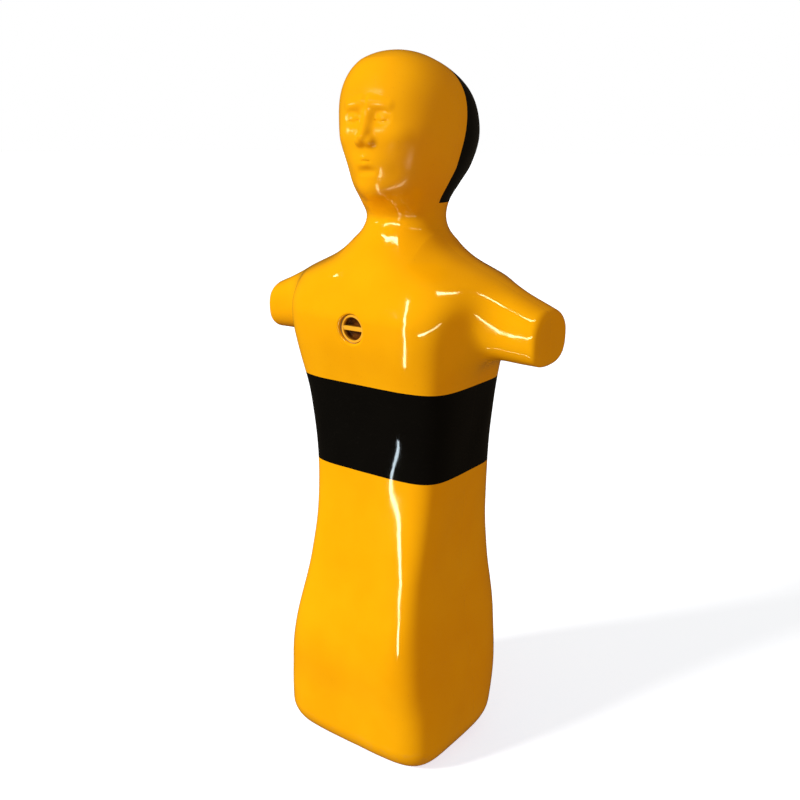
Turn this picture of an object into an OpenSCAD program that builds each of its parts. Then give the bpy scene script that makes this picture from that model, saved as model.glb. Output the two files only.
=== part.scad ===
// Hollow one-metre body mannequin with arm stubs and a screw plug in the chest.
// Two moulded half shells are joined by tapes laminated over the seam from inside.
// The figure stands on z = 0 and faces -Y; its left hand is towards +X.

/* [Body] */
// Thickness of the moulded wall
wall_t = 4; // [3:0.5:5]
// Height of the crown above the floor
crown_z = 998; // [990:1:1006]
// Radius of the rounded edge round the base
base_r = 39.5; // [34:0.5:42]
// Depth position of the seam between the two shells
seam_y = 20; // [16:1:20.5]
// Reach of each arm stub from the middle plane
arm_reach = 233; // [225:1:240]
// Radius of the rounded edge at the end of an arm
arm_edge_r = 8; // [6:1:10]

/* [Black panels] */
// Thickness of the black film, let into the shells
film_t = 0.6; // [0.4:0.1:1]
// Lower edge of the waist band
band_lo = 430.5; // [420:0.5:440]
// Upper edge of the waist band
band_hi = 561; // [550:0.5:570]
// Front edge of the head patch
patch_y = 36; // [30:1:40]
// Height at which the edge of the head patch starts to lean forward
patch_bend_z = 848; // [835:1:855]
// Lower edge of the head patch
patch_lo = 802; // [795:1:810]

/* [Seam tapes] */
// Thickness of a laminated tape
tape_t = 3; // [2:0.5:4]
// Width of a laminated tape
tape_w = 46; // [30:1:50]
// Height at which the lower and upper tapes meet, half way up the arms
tape_split_z = 637; // [630:1:645]

/* [Filler plug] */
// Height of the plug on the chest
plug_z = 641; // [635:1:645]
// Downward tilt of the plug's axis
plug_tilt = 3; // [2:0.5:4]
// Radius of the mouth in the chest wall
mouth_r = 20; // [20:0.1:21]
// Crest radius of the plug's thread
crest_r = 19.4; // [19:0.1:19.4]
// Depth of the thread
thread_depth = 1.6; // [1.4:0.1:1.8]
// Pitch of the thread
pitch = 4; // [4:0.5:5]
// Gap between the two threads, on every flank and radius
thread_gap = 0.3; // [0.25:0.05:0.35]
// Depth of the plug's rim below the chest
rim_depth = 5; // [5:0.5:6]
// Depth of the grip bar's face below the chest
bar_depth = 6; // [6:0.5:8]
// Height of the grip bar
bar_h = 6; // [5:0.5:7]
// Thickness of the rubber washer
seal_t = 2.4; // [2:0.1:2.4]

/* [Hidden] */

AMBER = [0.98, 0.70, 0.02];
BLACK = [0.04, 0.04, 0.05];

// Sections of the trunk and head, from the base up:
// height, half width, half depth, centre y, superellipse exponent.
SECTIONS = [
    [  0, 136, 107.5, -14, 4.4],
    [ 90, 133.5, 120,  -3, 5.0],
    [180, 120.5, 128.5,   3, 5.2],
    [290, 107, 108,  13, 5.3],
    [400, 109, 90.5,  18, 5.3],
    [530, 121, 92,  15, 5.0],
    [650, 140, 112,   9, 4.2],
    [700, 134, 101,  18, 3.6],
    [730,  74,  81,  18, 2.9],
    [758,  56,  64,  21, 2.3],
    [782,  55,  53,  23, 2.1],
    [804,  56,  67,  21, 2.1],
    [826,  64,  84,  24, 2.1],
    [850,  73,  95,  31, 2.2],
    [880,  83, 101,  32, 2.3],
    [915,  92, 100,  28, 2.3],
    [950, 100, 103,  19, 2.3],
    [985, 104, 108,   4, 2.2]];
// Above this height the sections shrink as an ellipse does, and close at the crown
dome_z = 880;

// An arm stub tapers straight from its root to its tip:
// x, top z, bottom z, half depth, centre y.
ARM_ROOT = [120, 720, 605, 55, 22];
ARM_TIP = [233, 672, 601, 44, 24];
ARM_EXPONENT = 2.6;
arm_start = 66;

ring_n = 32;
arm_ring_n = 24;
round_n = 64;
far = 1200;

// Depths along the plug's axis, measured inwards from the chest
plug_len = 14;
plug_end = rim_depth + plug_len;
floor_t = 3;
plug_wall = 2;
root_r = crest_r - thread_depth;
cup_r = root_r - plug_wall;
spigot_r = 13;
spigot_l = 2;
seal_gap = 0.05;
seal_r = root_r + 0.2;
seal_hole_r = spigot_r + 0.3;
seal_room = 0.6;
shoulder = plug_end + seal_t + 2 * seal_gap;
bush_end = shoulder + 3.5;
bush_r = 25;
bush_front = 9;
flange_r = 36;
flange_front = 15;
flange_back = 18;
throat_r = 12;
bond_r = 42;
bond_end = 20;
thread_n = 36;

// ---- curves and lofts ----

// Slope of a table's column c at row i
function slope(t, c, i) =
    let (lo = max(i - 1, 0), hi = min(i + 1, len(t) - 1))
    (t[hi][c] - t[lo][c]) / (t[hi][0] - t[lo][0]);

// Value of column c at height z, as a smooth curve through the table's rows
function curve(t, c, z, i = 0) =
    i < len(t) - 2 && z > t[i + 1][0] ? curve(t, c, z, i + 1) :
    let (h = t[i + 1][0] - t[i][0], u = min(max((z - t[i][0]) / h, 0), 1))
    (2 * u^3 - 3 * u^2 + 1) * t[i][c] + (u^3 - 2 * u^2 + u) * h * slope(t, c, i)
    + (3 * u^2 - 2 * u^3) * t[i + 1][c] + (u^3 - u^2) * h * slope(t, c, i + 1);

// One corner-rounded coordinate of a superellipse
function bulge(v, n) = sign(v) * pow(abs(v), 2 / n);

// Superellipse of half sizes a and b as points [u, v]
function superellipse(a, b, n, count) =
    [for (k = [0 : count - 1]) let (w = 360 * k / count)
        [a * bulge(cos(w), n), b * bulge(sin(w), n)]];

// Closed solid through a stack of rings with equal point counts
module loft(rings) {
    m = len(rings[0]);
    last = len(rings) - 1;
    points = [for (ring = rings) each ring];
    sides = [for (j = [0 : last - 1], k = [0 : m - 1]) let (n = (k + 1) % m)
        each [[j * m + k, (j + 1) * m + k, j * m + n],
              [j * m + n, (j + 1) * m + k, (j + 1) * m + n]]];
    polyhedron(points, concat(sides,
        [[for (k = [0 : m - 1]) k]],
        [[for (k = [0 : m - 1]) last * m + m - 1 - k]]));
}

// Shrink of a section near the base and near the crown
function base_inset(z, r) = z < r ? r - sqrt(r * r - (r - z) * (r - z)) : 0;
function dome(z, top) =
    z < dome_z ? 1 : sqrt(max(1 - pow((z - dome_z) / (top - dome_z), 2), 0));

// Trunk section at height z, set in from the outer skin by the distance inset
function trunk_ring(z, inset) =
    let (shrink = dome(z, crown_z - inset), cut = inset + base_inset(z - inset, base_r - inset),
         a = curve(SECTIONS, 1, z) * shrink - cut * shrink,
         b = curve(SECTIONS, 2, z) * shrink - cut * shrink,
         n = curve(SECTIONS, 4, z))
    [for (p = superellipse(a, b, n, ring_n)) [p[0], curve(SECTIONS, 3, z) + p[1], z]];

// Heights of the trunk's rings: base edge, torso, shoulders and head, crown
function trunk_heights(inset) = concat(
    [for (w = [0 : 18 : 72]) inset + (base_r - inset) * (1 - cos(w))],
    [for (z = [base_r : 35 : 670]) z],
    [for (z = [679 : 12.5 : dome_z - 1]) z],
    [for (w = [0 : 10 : 70]) dome_z + (crown_z - inset - dome_z) * sin(w)],
    [for (w = [77 : 6 : 89]) dome_z + (crown_z - inset - dome_z) * sin(w)]);

module trunk(inset) {
    loft([for (z = trunk_heights(inset)) trunk_ring(z, inset)]);
}

// Arm section at distance x from the middle plane
function arm_ring(x, inset) =
    let (f = (x - ARM_ROOT[0]) / (ARM_TIP[0] - ARM_ROOT[0]),
         s = [for (c = [1 : 4]) ARM_ROOT[c] + (ARM_TIP[c] - ARM_ROOT[c]) * f],
         tip = arm_reach - inset, r = arm_edge_r - inset / 2,
         over = max(x - tip + r, 0), cut = inset + r - sqrt(r * r - over * over))
    [for (p = superellipse(s[2] - cut, (s[0] - s[1]) / 2 - cut, ARM_EXPONENT, arm_ring_n))
        [x, s[3] + p[0], (s[0] + s[1]) / 2 + p[1]]];

module arm(side, inset) {
    tip = arm_reach - inset;
    r = arm_edge_r - inset / 2;
    xs = concat([arm_start, 100, 135, 170, 200],
                [for (w = [0 : 30 : 90]) tip - r + r * sin(w)]);
    mirror([side < 0 ? 1 : 0, 0, 0])
        loft([for (x = xs) arm_ring(x, inset)]);
}

// Simple nose on the face
module nose() {
    hull() {
        translate([0, -66, 915]) scale([7, 5, 6]) sphere(1, $fn = 20);
        translate([0, -70, 883]) scale([12, 11, 7]) sphere(1, $fn = 20);
    }
}

module figure(inset) {
    trunk(inset);
    arm(1, inset);
    arm(-1, inset);
}

// Skin layer between two depths below the outer surface
module layer(from, to) {
    difference() {
        figure(from);
        figure(to);
    }
}

// The free-form nodes are meshes; one child of minkowski() keeps its shape
module mesh() {
    minkowski() children();
}

module behind(y) { translate([-far / 2, y, -far / 2]) cube([far, far, 2 * far]); }
module slab(lo, hi) { translate([-far / 2, -far / 2, lo]) cube([far, far, hi - lo]); }

// ---- black panels ----

// Side outline of the head patch, as points [y, z]
PATCH_OUTLINE = [[seam_y + 1.5, patch_lo], [patch_y, patch_bend_z],
                 [patch_y, far], [far, far], [far, patch_lo]];

module band_zone() { slab(band_lo, band_hi); }
module patch_zone() {
    rotate([90, 0, 90]) linear_extrude(far, center = true) polygon(PATCH_OUTLINE);
}

// What the shells lose in a zone, so that the film lies flush
module recess() {
    difference() {
        children();
        trunk(film_t);
    }
}

module film() {
    color(BLACK) mesh()
        intersection() {
            trunk(0);
            recess() children();
        }
}

module waist_band() { film() band_zone(); }
module head_patch() { film() patch_zone(); }

// ---- shells and tapes ----

module skin() {
    difference() {
        union() {
            figure(0);
            nose();
        }
        figure(wall_t);
        recess() band_zone();
    }
}

module front_shell() {
    color(AMBER) mesh()
        difference() {
            skin();
            behind(seam_y);
            on_chest() drum(mouth_r, -bush_front, 2 * bush_front);
        }
}

module back_shell() {
    color(AMBER) mesh()
        difference() {
            intersection() {
                skin();
                behind(seam_y);
            }
            recess() patch_zone();
        }
}

// Tape inside the seam, on one side and between two heights
module tape(side, lo, hi) {
    color("tan") mesh()
        intersection() {
            layer(wall_t, wall_t + tape_t);
            translate([side > 0 ? 0 : -far, seam_y - tape_w / 2, lo])
                cube([far, tape_w, hi - lo]);
        }
}

module lower_left_tape() { tape(1, 0, tape_split_z); }
module lower_right_tape() { tape(-1, 0, tape_split_z); }
module upper_left_tape() { tape(1, tape_split_z, far); }
module upper_right_tape() { tape(-1, tape_split_z, far); }

// ---- filler plug and its socket ----

// Puts +Z along the plug's axis, outwards, with z = 0 on the chest
chest_y = curve(SECTIONS, 3, plug_z) - curve(SECTIONS, 2, plug_z);
module on_chest() {
    translate([0, chest_y, plug_z]) rotate([90 + plug_tilt, 0, 0]) children();
}

// Threaded core from z = lo to hi: a right-hand helix with a trapezoid ridge, grown by gap
module threaded_core(lo, hi, gap) {
    flank = pitch / 4;
    ridge = [[gap, root_r + gap], [flank - gap, root_r + gap],
             [2 * flank - gap, crest_r + gap], [3 * flank + gap, crest_r + gap]];
    start = -plug_end - 3 * pitch;
    columns = thread_n * ceil(plug_len / pitch + 5);
    points = concat(
        [for (k = [0 : columns + thread_n], edge = ridge) let (w = 360 * k / thread_n)
            [edge[1] * cos(w), edge[1] * sin(w), start + edge[0] + pitch * k / thread_n]],
        [[0, 0, start - pitch], [0, 0, start + pitch * (columns / thread_n + 2)]]);
    function at(k, m) = m < 4 ? 4 * k + m : 4 * (k + thread_n);
    sides = [for (k = [0 : columns - 1], m = [0 : 3])
        each [[at(k, m), at(k + 1, m + 1), at(k + 1, m)],
              [at(k, m), at(k, m + 1), at(k + 1, m + 1)]]];
    foot = concat([for (k = [0 : thread_n]) at(k, 0)], [at(0, 3), at(0, 2), at(0, 1)]);
    head = concat([for (m = [0 : 3]) at(columns, m)],
                  [for (k = [thread_n : -1 : 1]) at(columns + k, 0)]);
    bottom = len(points) - 2;
    intersection() {
        polyhedron(points, concat(sides, fan(bottom, foot), fan(bottom + 1, head)));
        translate([0, 0, lo]) cylinder(h = hi - lo, r = 2 * crest_r, $fn = 12);
    }
}

// Triangles from one point to each edge of a closed loop
function fan(apex, loop) = [for (i = [0 : len(loop) - 1]) [apex, loop[i], loop[(i + 1) % len(loop)]]];

module fill_plug() {
    color(AMBER) on_chest()
        union() {
            mesh()
                difference() {
                    threaded_core(-plug_end, -rim_depth, 0);
                    difference() {
                        drum(cup_r, 0, plug_end - floor_t);
                        translate([-cup_r, -bar_h / 2, -plug_end])
                            cube([2 * cup_r, bar_h, plug_end - bar_depth]);
                    }
                }
            drum(spigot_r, plug_end, plug_end + spigot_l);
        }
}

module plug_seal() {
    color("dimgray") on_chest()
        difference() {
            drum(seal_r, plug_end + seal_gap, shoulder - seal_gap);
            drum(seal_hole_r, plug_end, shoulder);
        }
}

// Cylinder along the plug's axis between two depths
module drum(r, from, to) {
    translate([0, 0, -to]) cylinder(h = to - from, r = r, $fn = round_n);
}

module bush_blank() {
    drum(bush_r, bush_front, bush_end);
    drum(flange_r, flange_front, flange_back);
}

module fill_bush() {
    color(AMBER) on_chest()
        difference() {
            bush_blank();
            mesh() threaded_core(-plug_end - 1, 0, thread_gap);
            drum(seal_r + seal_room, plug_end, shoulder);
            drum(throat_r, 0, bush_end + 1);
        }
}

// Bead of paste between the socket and the wall
module bush_bond() {
    color("wheat") mesh()
        difference() {
            intersection() {
                on_chest() drum(bond_r, 0, bond_end);
                trunk(wall_t);
            }
            on_chest() {
                bush_blank();
                drum(mouth_r, 0, bush_front);
                drum(bush_r, bush_front, bush_end);
            }
        }
}

front_shell();
back_shell();
waist_band();
head_patch();
lower_left_tape();
lower_right_tape();
upper_left_tape();
upper_right_tape();
fill_bush();
bush_bond();
fill_plug();
plug_seal();
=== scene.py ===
"""Looks for the hollow one-metre rescue manikin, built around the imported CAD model.

The outer skin is one smooth implicit solid in millimetres: a trunk and head through
superellipse sections, arm stubs blended on, and a plain mannequin's face worked into
the head. It is meshed on a graded grid, scaled to metres, and cut into the two moulded
shells, the waist band and the head patch.
"""
import math

import bmesh
import bpy
import numpy as np
from mathutils import Matrix, Vector


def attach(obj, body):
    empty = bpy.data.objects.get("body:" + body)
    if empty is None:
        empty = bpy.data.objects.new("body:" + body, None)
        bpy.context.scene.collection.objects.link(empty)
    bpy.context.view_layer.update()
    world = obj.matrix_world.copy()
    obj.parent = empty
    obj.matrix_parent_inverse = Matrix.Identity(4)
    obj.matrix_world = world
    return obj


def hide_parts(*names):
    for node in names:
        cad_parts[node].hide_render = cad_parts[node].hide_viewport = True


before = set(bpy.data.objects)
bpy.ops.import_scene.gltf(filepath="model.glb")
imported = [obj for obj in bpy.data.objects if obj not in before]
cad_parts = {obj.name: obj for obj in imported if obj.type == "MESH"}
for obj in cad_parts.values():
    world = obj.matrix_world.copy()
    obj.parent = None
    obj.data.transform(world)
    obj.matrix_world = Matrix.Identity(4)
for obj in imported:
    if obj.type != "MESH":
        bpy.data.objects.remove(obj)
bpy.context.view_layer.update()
MM = 0.001

# ---- camera: at the front left of the figure, a little above the chest ----

CAMERA_PLACE = Vector((0.771, -1.028, 0.882))
CAMERA_AZIMUTH = math.radians(36.6)
CAMERA_PITCH = math.radians(15.67)
CAMERA_ROLL = math.radians(0.29)
CAMERA_LENS = 41.5
CAMERA_SENSOR = 36


def add_camera():
    ahead = Vector((-math.sin(CAMERA_AZIMUTH), math.cos(CAMERA_AZIMUTH), 0))
    right = Vector((math.cos(CAMERA_AZIMUTH), math.sin(CAMERA_AZIMUTH), 0))
    up = Vector((0, 0, 1))
    look = ahead * math.cos(CAMERA_PITCH) - up * math.sin(CAMERA_PITCH)
    top = ahead * math.sin(CAMERA_PITCH) + up * math.cos(CAMERA_PITCH)
    side = right * math.cos(CAMERA_ROLL) + top * math.sin(CAMERA_ROLL)
    top = top * math.cos(CAMERA_ROLL) - right * math.sin(CAMERA_ROLL)
    camera = bpy.data.objects.new("camera", bpy.data.cameras.new("camera"))
    camera.data.lens = CAMERA_LENS
    camera.data.sensor_width = CAMERA_SENSOR
    turned = Matrix((side, top, -look)).transposed().to_4x4()
    camera.matrix_world = Matrix.Translation(CAMERA_PLACE) @ turned
    bpy.context.scene.collection.objects.link(camera)
    bpy.context.scene.camera = camera


add_camera()

# ---- the figure's sizes, in millimetres, as in the CAD model ----

# height, half width, half depth, centre y, superellipse exponent
SECTIONS = np.array([
    [0, 136, 107.5, -14, 4.4],
    [90, 133.5, 120, -3, 5.0],
    [180, 120.5, 128.5, 3, 5.2],
    [290, 107, 108, 13, 5.3],
    [400, 109, 90.5, 18, 5.3],
    [530, 121, 92, 15, 5.0],
    [650, 140, 112, 9, 4.2],
    [700, 134, 101, 18, 3.6],
    [730, 74, 81, 18, 2.9],
    [758, 56, 64, 21, 2.3],
    [782, 55, 53, 23, 2.1],
    [804, 56, 67, 21, 2.1],
    [826, 64, 84, 24, 2.1],
    [850, 73, 95, 31, 2.2],
    [880, 83, 101, 32, 2.3],
    [915, 92, 100, 28, 2.3],
    [950, 100, 103, 19, 2.3],
    [985, 104, 108, 4, 2.2]])
BASE_EDGE = 39.5
DOME_Z = 880
CROWN_Z = 998
ARM_ROOT_X = 60
ARM_X = (120, 233)
ARM_TOP = (720, 672)
ARM_BOTTOM = (605, 601)
ARM_DEPTH = (55, 44)
ARM_Y = (22, 24)
ARM_EXPONENT = 2.6
ARM_EDGE = 8
ARMPIT = 44
WALL = 4
FILM = 0.6
SEAM_Y = 20
SEAM_DEPTH = 0.12
SEAM_WIDTH = 0.5
BAND = (430.5, 561)
PATCH_Y = 36
PATCH_BEND = (36, 848)
PATCH_FOOT = (21.5, 802)
PLUG_Z = 641
PLUG_TILT = math.radians(3)
MOUTH_R = 20
MOUTH_LIP = 3.5
MOUTH_DEPTH = 40
FACE_FROM_Z = 790
NOSE_ROUNDING = 1.0

# ---- fields: negative inside, positive outside, in about millimetres ----

# What keeps a field from dividing by nothing, and from being too flat to follow
TINY = 1e-6
LEAST_POWER = 1e-12
LEAST_GRADIENT = 1e-9
LEAST_STEEP = 0.5
LEAST_DOME_STEEP = 0.004


def smooth_min(a, b, k):
    h = np.maximum(k - np.abs(a - b), 0) / k
    return np.minimum(a, b) - h * h * k / 4


def smooth_max(a, b, k):
    return -smooth_min(-a, -b, k)


def round_meet(a, b, r):
    """Where both a and b are inside, with the edge between them rounded to radius r"""
    corner = np.hypot(np.maximum(a + r, 0), np.maximum(b + r, 0))
    return np.minimum(np.maximum(a + r, b + r), 0) + corner - r


def column(z, i):
    """Smooth curve through column i of SECTIONS"""
    zs, vs = SECTIONS[:, 0], SECTIONS[:, i]
    slope = np.empty_like(vs)
    slope[1:-1] = (vs[2:] - vs[:-2]) / (zs[2:] - zs[:-2])
    slope[0] = (vs[1] - vs[0]) / (zs[1] - zs[0])
    slope[-1] = (vs[-1] - vs[-2]) / (zs[-1] - zs[-2])
    z = np.clip(z, zs[0], zs[-1])
    k = np.clip(np.searchsorted(zs, z, side="right") - 1, 0, len(zs) - 2)
    h = zs[k + 1] - zs[k]
    t = (z - zs[k]) / h
    return ((2 * t**3 - 3 * t**2 + 1) * vs[k] + (t**3 - 2 * t**2 + t) * h * slope[k]
            + (3 * t**2 - 2 * t**3) * vs[k + 1] + (t**3 - t**2) * h * slope[k + 1])


def superellipse(u, v, a, b, n):
    """Radius ratio at (u, v) and the size of its gradient"""
    au, av = np.abs(u) / a, np.abs(v) / b
    ratio = (au**n + av**n + LEAST_POWER)**(1 / n)
    steep = np.hypot((au / ratio)**(n - 1) / a, (av / ratio)**(n - 1) / b)
    return ratio, np.maximum(steep, LEAST_STEEP / np.maximum(a, b))


def trunk(x, y, z):
    a, b, c, n = [column(z, i) for i in (1, 2, 3, 4)]
    ratio, steep = superellipse(x, y - c, a, b, n)
    rise = np.maximum(z - DOME_Z, 0) / (CROWN_Z - DOME_Z)
    whole = np.sqrt(ratio**2 + rise**2)
    steep_whole = np.hypot(ratio * steep, rise / (CROWN_Z - DOME_Z)) / np.maximum(whole, TINY)
    dome = (whole - 1) / np.maximum(steep_whole, LEAST_DOME_STEEP)
    wall = np.where(z > DOME_Z, dome, (ratio - 1) / steep)
    return round_meet(wall, -z, BASE_EDGE)


def arms(x, y, z):
    out = np.abs(x)
    t = (np.clip(out, ARM_ROOT_X, ARM_X[1]) - ARM_X[0]) / (ARM_X[1] - ARM_X[0])
    top, bottom, depth, mid_y = [p[0] + (p[1] - p[0]) * t
                                 for p in (ARM_TOP, ARM_BOTTOM, ARM_DEPTH, ARM_Y)]
    half, mid_z = (top - bottom) / 2, (top + bottom) / 2
    ratio, steep = superellipse(y - mid_y, z - mid_z, depth, half, ARM_EXPONENT)
    return round_meet((ratio - 1) / steep, out - ARM_X[1], ARM_EDGE)


def body(x, y, z):
    return smooth_min(trunk(x, y, z), arms(x, y, z), ARMPIT)


def egg(x, y, z, centre, radii):
    p = [(v - c) / r for v, c, r in zip((x, y, z), centre, radii)]
    near = np.sqrt(sum(v * v for v in p))
    steep = np.sqrt(sum((v / r)**2 for v, r in zip(p, radii)))
    return near * (near - 1) / np.maximum(steep, TINY)


def rod(x, y, z, a, b, ra, rb):
    """Round rod from a to b whose radius changes from ra to rb"""
    p = [v - c for v, c in zip((x, y, z), a)]
    d = [e - c for e, c in zip(b, a)]
    t = np.clip(sum(v * w for v, w in zip(p, d)) / sum(w * w for w in d), 0, 1)
    return np.sqrt(sum((v - t * w)**2 for v, w in zip(p, d))) - (ra + (rb - ra) * t)


# What is added to the head (+) and carved from it (-), on both sides where x isn't 0.
# kind, sign, blend, then the egg's centre and radii, or the rod's ends and end radii
FACE = [
    ("egg", -1, 9, (23, -78, 912), (18, 15, 11)),
    ("rod", +1, 8, (7, -62.5, 930), (32, -57.5, 926), (4.6, 3.8)),
    ("egg", +1, 4, (22.5, -52, 911), (14, 12.5, 9.5)),
    ("rod", -1, 1.2, (13, -63.8, 908.5), (22.5, -65.2, 905.8), (0.5, 0.5)),
    ("rod", -1, 1.2, (22.5, -65.2, 905.8), (32, -61.5, 908.0), (0.5, 0.4)),
    ("egg", +1, 14, (34, -42, 890), (16, 15, 11)),
    ("rod", +1, 9, (0, -58, 925), (0, -72.0, 887), (5, 7.5)),
    ("egg", +1, 6, (8.5, -66, 882), (7, 9, 6.5)),
    ("egg", +1, 14, (0, -46, 854), (27, 19.5, 19)),
    ("rod", +1, 5, (0, -65.5, 861.5), (16, -59.5, 858), (3.0, 1.6)),
    ("rod", +1, 5, (0, -64.5, 852.5), (14, -59.5, 855), (3.8, 2)),
    ("rod", -1, 2, (0, -69.8, 857.3), (19, -62.0, 856.8), (0.7, 0.4)),
    ("egg", -1, 7, (0, -70, 843.5), (15, 6, 4)),
    ("egg", +1, 14, (0, -44.5, 824), (21, 18.5, 15)),
]


def with_face(f, x, y, z):
    across = np.sqrt(x * x + NOSE_ROUNDING)
    for kind, sign, blend, p, q, *radii in FACE:
        piece = egg(across, y, z, p, q) if kind == "egg" else rod(across, y, z, p, q, *radii[0])
        f = smooth_min(f, piece, blend) if sign > 0 else smooth_max(f, -piece, blend)
    return f


# Hand moulding leaves slow waves in the surface: one amplitude, many directions
WAVE_N = 14
WAVE_SIZE = 0.09
WAVE_LENGTH = (38, 120)
WAVE_SEED = 7
WAVE_FADE = 20
chance = np.random.default_rng(WAVE_SEED)
wave_way = chance.normal(size=(WAVE_N, 3))
wave_way /= np.linalg.norm(wave_way, axis=1, keepdims=True)
wave_way *= 2 * math.pi / chance.uniform(*WAVE_LENGTH, (WAVE_N, 1))
wave_phase = chance.uniform(0, 2 * math.pi, WAVE_N)


def waves(x, y, z):
    return WAVE_SIZE * sum(np.sin(w[0] * x + w[1] * y + w[2] * z + p)
                           for w, p in zip(wave_way, wave_phase))


PLUG_AT = np.array((0, column(PLUG_Z, 3) - column(PLUG_Z, 2), PLUG_Z))


def to_plug(x, y, z):
    """Coordinates along the plug: u across, v up, w outwards from the chest"""
    c, s = math.cos(PLUG_TILT), math.sin(PLUG_TILT)
    dy, dz = y - PLUG_AT[1], z - PLUG_AT[2]
    return x - PLUG_AT[0], -s * dy + c * dz, -c * dy - s * dz


def skin(x, y, z):
    """The whole outer surface, with the seam as a fine groove and the plug's mouth sunk into the chest"""
    f = body(x, y, z) + waves(x, y, z) * np.clip(z / WAVE_FADE, 0, 1)
    if np.max(z) > FACE_FROM_Z:
        f = np.where(z > FACE_FROM_Z, with_face(f, x, y, z), f)
    f = f + SEAM_DEPTH * np.exp(-((y - SEAM_Y) / SEAM_WIDTH)**2)
    u, v, w = to_plug(x, y, z)
    return np.where(w > -MOUTH_DEPTH, round_meet(f, MOUTH_R - np.hypot(u, v), MOUTH_LIP), f)


def slope(field, p, e=0.05):
    g = np.empty_like(p)
    for i in range(3):
        d = np.zeros(3)
        d[i] = e
        g[:, i] = (field(*(p + d).T) - field(*(p - d).T)) / (2 * e)
    return g


# ---- meshing a field ----

# Layers that a field is worked out in, which spares memory
GRID_PARTS = 12
# Least squared slope and longest move, in millimetres, when points settle on the surface
LEAST_SLOPE = 0.05
LONGEST_STEP = 1.5
# How near the surface a corner lies, and how well its face agrees, to get an exact normal
ON_SURFACE = 0.06
LEAST_SIZE = 0.2
SAME_WAY = 0.55


def lines(start, *spans):
    """Grid lines from start through spans of (end, step)"""
    out = [np.array([float(start)])]
    for end, step in spans:
        n = max(1, round((end - start) / step))
        out.append(np.linspace(start, end, n + 1)[1:])
        start = end
    return np.concatenate(out)


def surface(field, xs, ys, zs, relax=3):
    """Quads round the solid where field < 0: one vertex in each grid cell that the surface crosses"""
    values = np.concatenate([field(xs[:, None, None], ys[None, :, None], part[None, None, :])
                             for part in np.array_split(zs, GRID_PARTS)], axis=2)
    axes = (xs, ys, zs)
    shape = np.array(values.shape)
    cells, spots, quads = [], [], []
    for axis in range(3):
        here = [slice(None)] * 3
        there = [slice(None)] * 3
        here[axis], there[axis] = slice(0, -1), slice(1, None)
        f0, f1 = values[tuple(here)], values[tuple(there)]
        at = np.argwhere((f0 < 0) != (f1 < 0))
        a, b = f0[tuple(at.T)], f1[tuple(at.T)]
        spot = np.stack([axes[i][at[:, i]] for i in range(3)], 1)
        t = a / (a - b)
        spot[:, axis] += t * (axes[axis][at[:, axis] + 1] - axes[axis][at[:, axis]])
        p, q = (axis + 1) % 3, (axis + 2) % 3
        around = []
        for dp, dq in ((-1, -1), (0, -1), (0, 0), (-1, 0)):
            cell = at.copy()
            cell[:, p] += dp
            cell[:, q] += dq
            around.append(np.ravel_multi_index(cell.T, shape))
        quad = np.stack(around, 1)
        quad[a >= 0] = quad[a >= 0][:, ::-1]
        quads.append(quad)
        cells.append(quad.ravel())
        spots.append(np.repeat(spot, 4, axis=0))
    quads = np.concatenate(quads)
    spots = np.concatenate(spots)
    names, index = np.unique(np.concatenate(cells), return_inverse=True)
    count = np.bincount(index)
    points = np.stack([np.bincount(index, spots[:, i]) / count for i in range(3)], 1)
    faces = np.searchsorted(names, quads)
    for _ in range(relax):
        points = settle(field, points, 2)
        points = spread(points, faces)
    return settle(field, points, 3), faces


def settle(field, points, rounds):
    """Moves points onto the surface"""
    for _ in range(rounds):
        g = slope(field, points)
        step = field(*points.T) / np.maximum((g * g).sum(1), LEAST_SLOPE)
        points = points - np.clip(step, -LONGEST_STEP, LONGEST_STEP)[:, None] * g
    return points


def spread(points, faces, share=0.5):
    """Moves each point towards the middle of its neighbours, which evens out the quads"""
    total = np.zeros_like(points)
    count = np.zeros(len(points))
    for i in range(4):
        a, b = faces[:, i], faces[:, (i + 1) % 4]
        for i0, i1 in ((a, b), (b, a)):
            count += np.bincount(i0, minlength=len(points))
            for k in range(3):
                total[:, k] += np.bincount(i0, points[i1, k], len(points))
    return points + share * (total / count[:, None] - points)


def make_mesh(name, points, faces):
    mesh = bpy.data.meshes.new(name)
    mesh.from_pydata((points * MM).tolist(), [], faces.tolist())
    mesh.update()
    return mesh


def make_object(name, mesh):
    piece = bpy.data.objects.new(name, mesh)
    bpy.context.scene.collection.objects.link(piece)
    return piece


def cut(name, first, *steps):
    """New mesh from mesh first and (operation, mesh) steps"""
    piece = make_object(name, first.copy())
    tools = []
    for operation, mesh in steps:
        tool = make_object("tool", mesh)
        step = piece.modifiers.new(operation, "BOOLEAN")
        step.operation = operation
        step.solver = "MANIFOLD"
        step.object = tool
        tools.append(tool)
    solved = piece.evaluated_get(bpy.context.evaluated_depsgraph_get())
    mesh = bpy.data.meshes.new_from_object(solved)
    mesh.name = name
    for o in [piece] + tools:
        bpy.data.objects.remove(o)
    return mesh


def prism(outline, lo, hi, axis):
    """Closed prism over a 2-D outline, from lo to hi along axis"""
    n = len(outline)
    points = np.array([np.insert(np.array(p, float), axis, level)
                       for level in (lo, hi) for p in outline])
    faces = [tuple(range(n)), tuple(range(2 * n - 1, n - 1, -1))]
    faces += [(i, i + n, (i + 1) % n + n, (i + 1) % n) for i in range(n)]
    mesh = bpy.data.meshes.new("prism")
    mesh.from_pydata((points * MM).tolist(), [], faces)
    mesh.validate()
    b = bmesh.new()
    b.from_mesh(mesh)
    bmesh.ops.recalc_face_normals(b, faces=b.faces)
    b.to_mesh(mesh)
    b.free()
    return mesh


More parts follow.
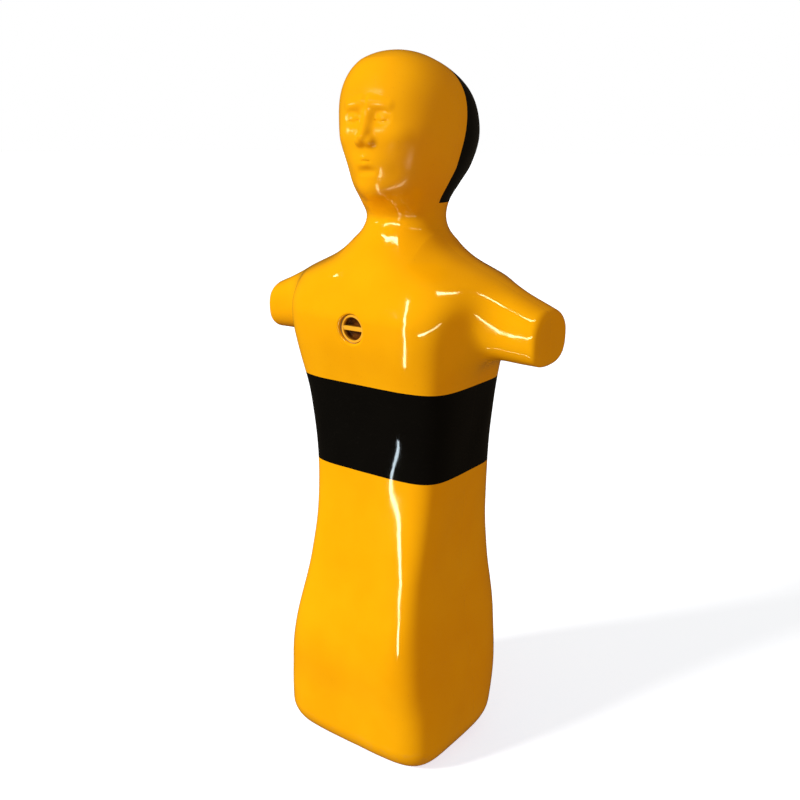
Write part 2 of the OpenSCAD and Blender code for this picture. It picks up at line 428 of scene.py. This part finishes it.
def shade(mesh, *layers):
    """Exact normals where the mesh lies on a level of a field, and the faces' own normals elsewhere"""
    n = len(mesh.vertices)
    co = np.empty(n * 3, np.float32)
    mesh.vertices.foreach_get("co", co)
    points = co.reshape(-1, 3).astype(float) / MM
    loops = np.empty(len(mesh.loops), np.int32)
    mesh.loops.foreach_get("vertex_index", loops)
    totals = np.empty(len(mesh.polygons), np.int32)
    mesh.polygons.foreach_get("loop_total", totals)
    own = np.empty(len(mesh.polygons) * 3, np.float32)
    mesh.polygons.foreach_get("normal", own)
    own = own.reshape(-1, 3)
    polygon = np.repeat(np.arange(len(totals)), totals)
    normals = own[polygon].astype(float)
    for field, sign in layers:
        g = slope(field, points)
        size = np.linalg.norm(g, axis=1)
        on = np.abs(field(*points.T)) < ON_SURFACE * np.maximum(size, LEAST_SIZE)
        g = sign * g / np.maximum(size, LEAST_GRADIENT)[:, None]
        face_on = np.bincount(polygon, ~on[loops]) == 0
        facing = (g[loops] * own[polygon]).sum(1) > SAME_WAY
        use = face_on[polygon] & facing
        normals[use] = g[loops][use]
    mesh.normals_split_custom_set(normals.tolist())


# ---- the plug and its socket, along the plug's own axis ----

PITCH = 4.0
CREST_R = 19.4
THREAD_DEPTH = 1.6
# The crest's middle and half its width, as shares of the pitch
THREAD_MIDDLE = 0.625
THREAD_HALF = 0.25
# Evens out the field on the steep flanks
THREAD_SCALE = 0.7
# The plain collar between the thread and the rim
THREAD_RELIEF = 1.6
COLLAR_R = CREST_R - 0.2
RIM_AT = -5.0
PLUG_END = -19.0
CUP_R = 15.8
CUP_FLOOR = -16.0
BAR_TOP = -6.0
BAR_H = 6.0
SPIGOT_R = 13.0
SPIGOT_END = -21.0
SPIGOT_ROOT = 2
# Edge radii
RIM_EDGE = 0.7
END_EDGE = 0.5
CUP_EDGE = 1.5
CUP_LIP = 0.8
BAR_EDGE = 1.0
BAR_FILLET = 1.2
SPIGOT_EDGE = 0.4


def threaded(u, v, w):
    """Core with a right-hand thread, its crests and roots slightly rounded"""
    turn = np.arctan2(v, u) / (2 * math.pi)
    along = ((w - PLUG_END) / PITCH - turn) % 1 * PITCH
    flank = np.abs(along - THREAD_MIDDLE * PITCH) - THREAD_HALF * PITCH
    profile = np.clip(-flank * THREAD_DEPTH, 0, THREAD_DEPTH)
    return (np.hypot(u, v) - (CREST_R - THREAD_DEPTH + profile)) * THREAD_SCALE


def tube(u, v, r):
    return np.hypot(u, v) - r


def plug_field(u, v, w):
    thread = np.where(w > RIM_AT - THREAD_RELIEF, tube(u, v, COLLAR_R), threaded(u, v, w))
    solid = round_meet(round_meet(thread, w - RIM_AT, RIM_EDGE), PLUG_END - w, END_EDGE)
    cup = round_meet(tube(u, v, CUP_R), CUP_FLOOR - w, CUP_EDGE)
    bar = round_meet(np.abs(v) - BAR_H / 2, w - BAR_TOP, BAR_EDGE)
    cup = smooth_max(cup, -bar, BAR_FILLET)
    solid = smooth_max(solid, -cup, CUP_LIP)
    spigot = round_meet(tube(u, v, SPIGOT_R), SPIGOT_END - w, SPIGOT_EDGE)
    return np.minimum(solid, np.maximum(spigot, w - PLUG_END - SPIGOT_ROOT))


def from_plug(points):
    c, s = math.cos(PLUG_TILT), math.sin(PLUG_TILT)
    u, v, w = points.T
    return PLUG_AT + np.stack([u, -s * v - c * w, c * v - s * w], 1)


COARSEN = 1.0


def grid(*axes):
    return [lines(start, *[(end, step * COARSEN) for end, step in spans])
            for start, *spans in axes]


# The grid is finest round the face, the plug and the seam
points, faces = surface(skin, *grid(
    (-240, (-62, 5), (62, 2), (240, 5)),
    (-141, (-108, 5), (-94, 1.8), (-86, 2), (-40, 1.6), (18, 4), (22, 1), (145, 5)),
    (-6, (600, 6), (682, 2), (805, 4), (945, 1.5), (1006, 3))))
grads = slope(skin, points)
grads /= np.linalg.norm(grads, axis=1, keepdims=True)
outer = make_mesh("outer", points, faces)
film_back = make_mesh("film_back", points - FILM * grads, faces)


def hollow(x, y, z):
    return body(x, y, z) + WALL


inner = make_mesh("inner", *surface(hollow, *grid(
    (-236, (236, 9)), (-136, (140, 9)), (-4, (1004, 9)))))
FAR = 2000.0
band_zone = prism([(-FAR, -FAR), (FAR, -FAR), (FAR, FAR), (-FAR, FAR)], *BAND, axis=2)
patch_outline = [PATCH_FOOT, PATCH_BEND, (PATCH_Y, FAR), (FAR, FAR), (FAR, PATCH_FOOT[1])]
patch_zone = prism(patch_outline, -FAR, FAR, axis=0)
back_zone = prism([(SEAM_Y, -FAR), (FAR, -FAR), (FAR, FAR), (SEAM_Y, FAR)], -FAR, FAR, axis=0)
band_cut = cut("band_cut", band_zone, ("DIFFERENCE", film_back))
patch_cut = cut("patch_cut", patch_zone, ("DIFFERENCE", film_back))
shells = {
    "front_shell": cut("front_shell", outer, ("DIFFERENCE", back_zone), ("DIFFERENCE", inner),
                       ("DIFFERENCE", band_cut)),
    "back_shell": cut("back_shell", outer, ("INTERSECT", back_zone), ("DIFFERENCE", inner),
                      ("DIFFERENCE", band_cut), ("DIFFERENCE", patch_cut)),
    "waist_band": cut("waist_band", outer, ("INTERSECT", band_zone), ("DIFFERENCE", film_back)),
    "head_patch": cut("head_patch", outer, ("INTERSECT", patch_zone), ("DIFFERENCE", film_back)),
}
for m in shells.values():
    shade(m, (hollow, -1), (skin, 1))


# ---- materials ----

class Nodes:
    """Small helper that adds and links shader nodes"""

    def __init__(self, name):
        self.material = bpy.data.materials.new(name)
        self.material.use_nodes = True
        self.tree = self.material.node_tree
        self.shader = self.tree.nodes["Principled BSDF"]
        self.place = self.add("ShaderNodeTexCoord").outputs["Object"]

    def add(self, kind, inputs=None, **settings):
        node = self.tree.nodes.new(kind)
        for key, value in settings.items():
            setattr(node, key, value)
        for key, value in (inputs or {}).items():
            self.set(node, key, value)
        return node

    def set(self, node, key, value):
        if isinstance(value, bpy.types.NodeSocket):
            self.tree.links.new(value, node.inputs[key])
        else:
            node.inputs[key].default_value = value

    def noise(self, scale, detail=3, rough=0.5, stretch=None, distort=0):
        place = self.place
        if stretch:
            place = self.add("ShaderNodeMapping", {"Vector": place, "Scale": stretch}).outputs[0]
        return self.add("ShaderNodeTexNoise", {"Vector": place, "Scale": scale, "Detail": detail,
                                               "Roughness": rough, "Distortion": distort}).outputs["Fac"]

    def ramp(self, value, low, high, out_low=0.0, out_high=1.0):
        return self.add("ShaderNodeMapRange", {"Value": value, "From Min": low, "From Max": high,
                                               "To Min": out_low, "To Max": out_high}).outputs[0]

    def mix(self, amount, a, b):
        node = self.add("ShaderNodeMix", data_type="RGBA")
        self.set(node, 0, amount)
        self.set(node, 6, a)
        self.set(node, 7, b)
        return node.outputs[2]

    def math(self, operation, a, b=0.0):
        node = self.add("ShaderNodeMath", operation=operation)
        self.set(node, 0, a)
        self.set(node, 1, b)
        return node.outputs[0]

    def bump(self, *layers):
        """Chain of (height, distance) bumps"""
        normal = None
        for height, distance in layers:
            inputs = {"Height": height, "Distance": distance, "Strength": 1.0}
            if normal is not None:
                inputs["Normal"] = normal
            normal = self.add("ShaderNodeBump", inputs).outputs[0]
        self.set(self.shader, "Normal", normal)

    def finish(self, **sockets):
        for key, value in sockets.items():
            self.set(self.shader, key.replace("_", " ").title().replace("Ior", "IOR"), value)
        return self.material


def rgb(r, g, b):
    return (r, g, b, 1.0)


# Where wear sits, in metres: scuffs near the base and a duller head; and where shade is painted into the
# plug's cup
SCUFF_TOP = 0.045
DULLER = (0.76, 0.84)
CUP_SHADE_Y = (-0.0962, -0.0915)
CUP_SHADE_R = (0.0172, 0.0160)


def gelcoat():
    n = Nodes("amber_gelcoat")
    cloud = n.ramp(n.noise(9, 4, 0.55), 0.35, 0.65)
    colour = n.mix(cloud, rgb(0.94, 0.435, 0.0015), rgb(0.97, 0.475, 0.0025))
    speck = n.ramp(n.noise(420, 2, 0.5), 0.68, 0.74)
    colour = n.mix(n.math("MULTIPLY", speck, 0.25), colour, rgb(0.6, 0.2, 0.01))
    height = n.add("ShaderNodeSeparateXYZ", {"Vector": n.place}).outputs[2]
    low = n.ramp(height, SCUFF_TOP, 0.0)
    scuff = n.math("MULTIPLY", n.ramp(n.noise(60, 5, 0.7, (1, 1, 3)), 0.5, 0.62), low)
    colour = n.mix(n.math("MULTIPLY", scuff, 0.35), colour, rgb(0.45, 0.28, 0.12))
    rough = n.ramp(n.noise(35, 4, 0.6), 0.3, 0.7, 0.06, 0.11)
    rough = n.math("ADD", rough, n.math("MULTIPLY", scuff, 0.3))
    rough = n.math("ADD", rough, n.ramp(height, *DULLER, 0.0, 0.10))
    scratch = n.noise(300, 2, 0.5, (1, 1, 0.06))
    n.bump((n.noise(160, 2, 0.4), 0.00003), (n.noise(22, 2, 0.5), 0.00018), (scratch, 0.00001))
    return n.finish(base_color=colour, roughness=rough, ior=1.52)


def film():
    n = Nodes("black_film")
    colour = n.mix(n.noise(14, 3), rgb(0.0016, 0.0016, 0.0016), rgb(0.0035, 0.0034, 0.003))
    speck = n.ramp(n.noise(700, 1, 0.5), 0.70, 0.76)
    colour = n.mix(n.math("MULTIPLY", speck, 0.05), colour, rgb(0.2, 0.19, 0.17))
    rough = n.ramp(n.noise(40, 4, 0.6), 0.3, 0.7, 0.04, 0.08)
    n.bump((n.noise(160, 2, 0.4), 0.00003), (n.noise(22, 2, 0.5), 0.00018))
    return n.finish(base_color=colour, roughness=rough, ior=1.5)


def moulded():
    n = Nodes("amber_plastic")
    colour = n.mix(n.noise(60, 3), rgb(0.90, 0.45, 0.02), rgb(0.95, 0.52, 0.04))
    x, y, z = n.add("ShaderNodeSeparateXYZ", {"Vector": n.place}).outputs
    rise = n.math("SUBTRACT", z, PLUG_Z * MM)
    off_axis = n.math("SQRT", n.math("ADD", n.math("POWER", x, 2.0), n.math("POWER", rise, 2.0)))
    patchy = n.ramp(n.noise(150, 4), 0.2, 0.5, 0.85, 1.0)
    # Painted shade: the plug's cup turns dark brown deeper than its rim and inside its radius, patchy, where
    # shade falls in the pockets
    painted_cup_shade = n.math("MULTIPLY", n.ramp(y, *CUP_SHADE_Y), patchy)
    painted_cup_shade = n.math("MULTIPLY", painted_cup_shade, n.ramp(off_axis, *CUP_SHADE_R))
    colour = n.mix(painted_cup_shade, colour, rgb(0.13, 0.035, 0.004))
    rough = n.ramp(n.noise(200, 3), 0.3, 0.7, 0.28, 0.42)
    n.bump((n.noise(1500, 2), 0.00002))
    return n.finish(base_color=colour, roughness=rough)


def rubber():
    n = Nodes("black_rubber")
    colour = n.mix(n.noise(300, 3), rgb(0.012, 0.012, 0.012), rgb(0.03, 0.03, 0.03))
    n.bump((n.noise(1800, 2), 0.00004))
    return n.finish(base_color=colour, roughness=n.ramp(n.noise(250), 0.3, 0.7, 0.6, 0.8))


def laminate():
    n = Nodes("glass_laminate")
    yarn = {"Vector": n.place, "Scale": 90, "Distortion": 1.5, "Detail": 2}
    weave = n.math("MAXIMUM", *[n.add("ShaderNodeTexWave", yarn, bands_direction=axis).outputs["Fac"]
                                for axis in "XZ"])
    colour = n.mix(weave, rgb(0.30, 0.23, 0.10), rgb(0.62, 0.54, 0.36))
    n.bump((weave, 0.0004), (n.noise(60, 4), 0.0006))
    return n.finish(base_color=colour, roughness=n.ramp(n.noise(80, 4), 0.3, 0.7, 0.25, 0.6))


def paste():
    n = Nodes("bonding_paste")
    colour = n.mix(n.noise(70, 4), rgb(0.55, 0.48, 0.34), rgb(0.70, 0.63, 0.48))
    n.bump((n.noise(90, 5, 0.6), 0.0008))
    return n.finish(base_color=colour, roughness=n.ramp(n.noise(120), 0.3, 0.7, 0.5, 0.7))


amber, black = gelcoat(), film()


def show(name, mesh, body_name, material):
    piece = make_object(name + "_skin", mesh)
    mesh.materials.clear()
    mesh.materials.append(material)
    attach(piece, body_name)
    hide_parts(name)


for name, mesh in shells.items():
    is_film = name in ("waist_band", "head_patch")
    slot, material = ("black_film", black) if is_film else ("amber_gelcoat", amber)
    show(name, mesh, "shell", material)

moulded_amber = moulded()
ACROSS = (-20.4, (20.4, 0.55))
plug_points, plug_faces = surface(plug_field, *grid(ACROSS, ACROSS, (-22, (-4, 0.4))), relax=2)
plug_mesh = make_mesh("fill_plug", from_plug(plug_points), plug_faces)
show("fill_plug", plug_mesh, "plug", moulded_amber)

tapes = [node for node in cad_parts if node.endswith("_tape")]
plain_nodes = {"fill_bush": moulded_amber, "plug_seal": rubber(), "bush_bond": paste(),
               **dict.fromkeys(tapes, laminate())}
for node, material in plain_nodes.items():
    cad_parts[node].data.materials.clear()
    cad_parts[node].data.materials.append(material)


# ---- floor, light and world ----

FLOOR = 60

def add_floor():
    """Pale floor, seen by the camera and under the shadow, but not mirrored in the figure"""
    mesh = bpy.data.meshes.new("floor")
    corners = [(FLOOR * a, FLOOR * b, 0) for a, b in ((-1, -1), (1, -1), (1, 1), (-1, 1))]
    mesh.from_pydata(corners, [], [(0, 1, 2, 3)])
    floor = make_object("floor", mesh)
    n = Nodes("pale_floor")
    colour = n.mix(n.noise(3, 4), rgb(0.86, 0.86, 0.86), rgb(0.90, 0.90, 0.90))
    mesh.materials.append(n.finish(base_color=colour, roughness=0.6, specular_ior_level=0.0,
                                   emission_color=rgb(0.63, 0.80, 1), emission_strength=0.76))
    floor.visible_glossy = floor.visible_diffuse = False


GLINT = (1.0, 0.97, 0.60)
COOL = (0.75, 0.9, 1)
BACK = (0, 1, 0)
UP = (0.2, 0.55, 0.81)


def place_light(name, data, place, target, power, colour, diffuse, glossy):
    data.energy = power
    data.color = colour
    light = bpy.data.objects.new(name, data)
    light.location = place
    light.rotation_euler = (Vector(target) - Vector(place)).to_track_quat("-Z", "Y").to_euler()
    light.visible_camera = False
    light.visible_diffuse = diffuse
    light.visible_glossy = glossy
    bpy.context.scene.collection.objects.link(light)
    return light


def add_sun(name, place, strength, spread, colour=(1, 1, 1)):
    """Soft even light on the shape alone"""
    data = bpy.data.lights.new(name, "SUN")
    data.angle = math.radians(spread)
    place_light(name, data, place, (0, 0, 0.5), strength, colour, True, False)


def add_path(name, points, facing, width, glow, colour):
    """Strips along the points, seen only as reflections, lit on the side that faces this way"""
    for a, b in zip(points, points[1:]):
        a, b = Vector(a), Vector(b)
        middle = (a + b) / 2
        along = (b - a).normalized()
        beam = Vector(facing)
        beam = (beam - along * beam.dot(along)).normalized()
        data = bpy.data.lights.new(name, "AREA")
        data.shape = "RECTANGLE"
        data.size, data.size_y = width, (b - a).length
        power = glow * math.pi * width * data.size_y
        light = place_light(name, data, middle, middle + beam, power, colour, False, True)
        turned = Matrix((along.cross(-beam), along, -beam)).transposed().to_4x4()
        light.matrix_world = Matrix.Translation(middle) @ turned


def around(azimuth, elevation, distance, height=0.5):
    """Place at an angle round the figure: azimuth 0 is straight in front of it"""
    a, e = math.radians(azimuth), math.radians(elevation)
    out = distance * math.cos(e)
    return (out * math.sin(a), -out * math.cos(a), height + distance * math.sin(e))


def add_world():
    """White behind the figure, a warm fill on it, and dark surroundings in its reflections"""
    world = bpy.data.worlds.new("studio")
    bpy.context.scene.world = world
    world.use_nodes = True
    tree = world.node_tree
    path = tree.nodes.new("ShaderNodeLightPath")
    colour = rgb(1, 1, 1)
    for ray, seen in (("Is Diffuse Ray", rgb(0.50, 0.36, 0.20)), ("Is Glossy Ray", rgb(0.035, 0.028, 0.02))):
        mix = tree.nodes.new("ShaderNodeMix")
        mix.data_type = "RGBA"
        tree.links.new(path.outputs[ray], mix.inputs[0])
        if isinstance(colour, tuple):
            mix.inputs[6].default_value = colour
        else:
            tree.links.new(colour, mix.inputs[6])
        mix.inputs[7].default_value = seen
        colour = mix.outputs[2]
    tree.links.new(colour, tree.nodes["Background"].inputs["Color"])


add_floor()
add_world()
add_sun("key", around(-30, 28, 2.4), 2.8, 12)

# name, way it faces, width, glow, colour, points
PATHS = [
    ("band_streak", BACK, 0.007, 18, COOL,
     [(-0.017, -0.186, 0.4235), (-0.018, -0.187, 0.409), (-0.028, -0.187, 0.387)]),
    ("belly_streak", BACK, 0.010, 27, GLINT,
     [(-0.028, -0.187, 0.387), (-0.0255, -0.1935, 0.367), (0.042, -0.232, 0.3205), (0.109, -0.251, 0.2585)]),
    ("hip_streak", BACK, 0.016, 27, GLINT, [(0.109, -0.251, 0.2585), (0.1325, -0.259, 0.174)]),
    ("chest_streak", BACK, 0.009, 26, GLINT,
     [(0.034, -0.175, 0.797), (0.038, -0.198, 0.77), (0.055, -0.244, 0.68), (0.053, -0.226, 0.563),
      (0.037, -0.193, 0.505)]),
    ("neck_streak", (0, 0.1, -1), 0.006, 25, GLINT,
     [(-0.032, -0.061, 0.812), (-0.008, -0.070, 0.807), (0.030, -0.060, 0.808)]),
    ("cheek_light", (0, 0.6, 0.8), 0.03, 9, GLINT, [(-0.022, -0.167, 0.915), (-0.002, -0.167, 0.915)]),
    ("upper_arm_streak", (0.9, 0, -0.6), 0.10, 26, GLINT, [(0.38, -0.04, 1.12), (0.23, -0.22, 1.13)]),
    ("lower_arm_streak", (0, 1, 0.2), 0.009, 26, GLINT, [(0.314, -0.154, 0.655), (0.13, -0.21, 0.606)]),
    ("forehead_light", UP, 0.03, 8, GLINT, [(-0.20, -0.32, 1.03), (-0.05, -0.37, 1.04)]),
    ("brow_light", (0.2, 0.72, 0.66), 0.15, 8, GLINT, [(-0.18, -0.285, 1.125), (-0.12, -0.265, 1.125)]),
    ("eye_light", (0.5, 0.3, 0.8), 0.03, 20, GLINT, [(-0.334, -0.225, 0.93), (-0.334, -0.225, 0.96)]),
]
for name, facing, width, glow, colour, places in PATHS:
    add_path(name, places, facing, width, glow, colour)
bpy.context.scene.view_settings.view_transform = "Standard"
